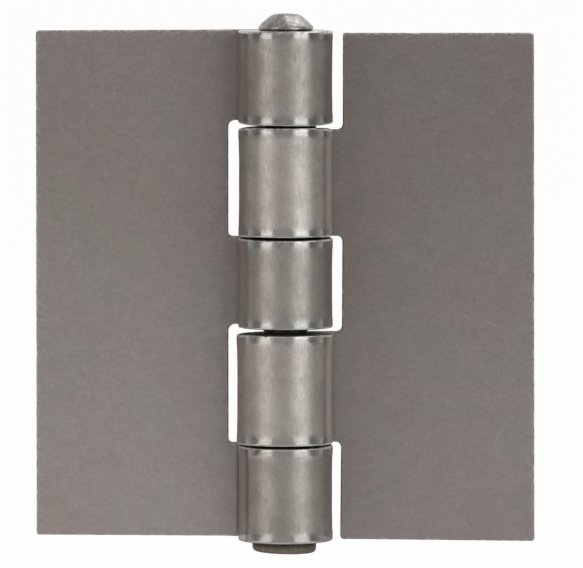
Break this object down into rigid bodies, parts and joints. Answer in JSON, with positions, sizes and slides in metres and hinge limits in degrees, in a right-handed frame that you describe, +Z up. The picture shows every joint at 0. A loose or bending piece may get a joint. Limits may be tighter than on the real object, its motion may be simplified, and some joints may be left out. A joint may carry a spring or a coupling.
{
  "type": "weld-on hinge",
  "caption": "Plain steel butt hinge without screw holes: two flat leaves rolled into interlocking knuckles that swing on a fixed riveted pin, for welding onto a gate, lid or frame.",
  "frame": {"origin": "on the pin's axis, halfway along the barrel", "axes": "+Z up along the pin, towards its domed head; +X from the pin towards the two-knuckle leaf, with the hinge open flat; +Y towards the weld faces at the back, so the barrel stands proud on -Y"},
  "size_m": [0.075, 0.0142, 0.0808],
  "materials": {
    "leaf_steel": "bare hot-rolled steel, matt grey with faint mottling, burnished brighter where it is rolled",
    "pin_steel": "bare steel rivet wire, hammered bright at the domed head, dark at the button head"
  },
  "bodies": {
    "three_knuckle_leaf": {"three_knuckle_leaf": "leaf_steel", "hinge_pin": "pin_steel"},
    "two_knuckle_leaf": {"two_knuckle_leaf": "leaf_steel"}
  },
  "joints": [
    {"name": "leaf_swing", "type": "hinge", "parent": "three_knuckle_leaf", "child": "two_knuckle_leaf", "pos_m": [0, 0, 0], "axis": [0, 0, 1], "range_deg": [-189, 95]}
  ]
}
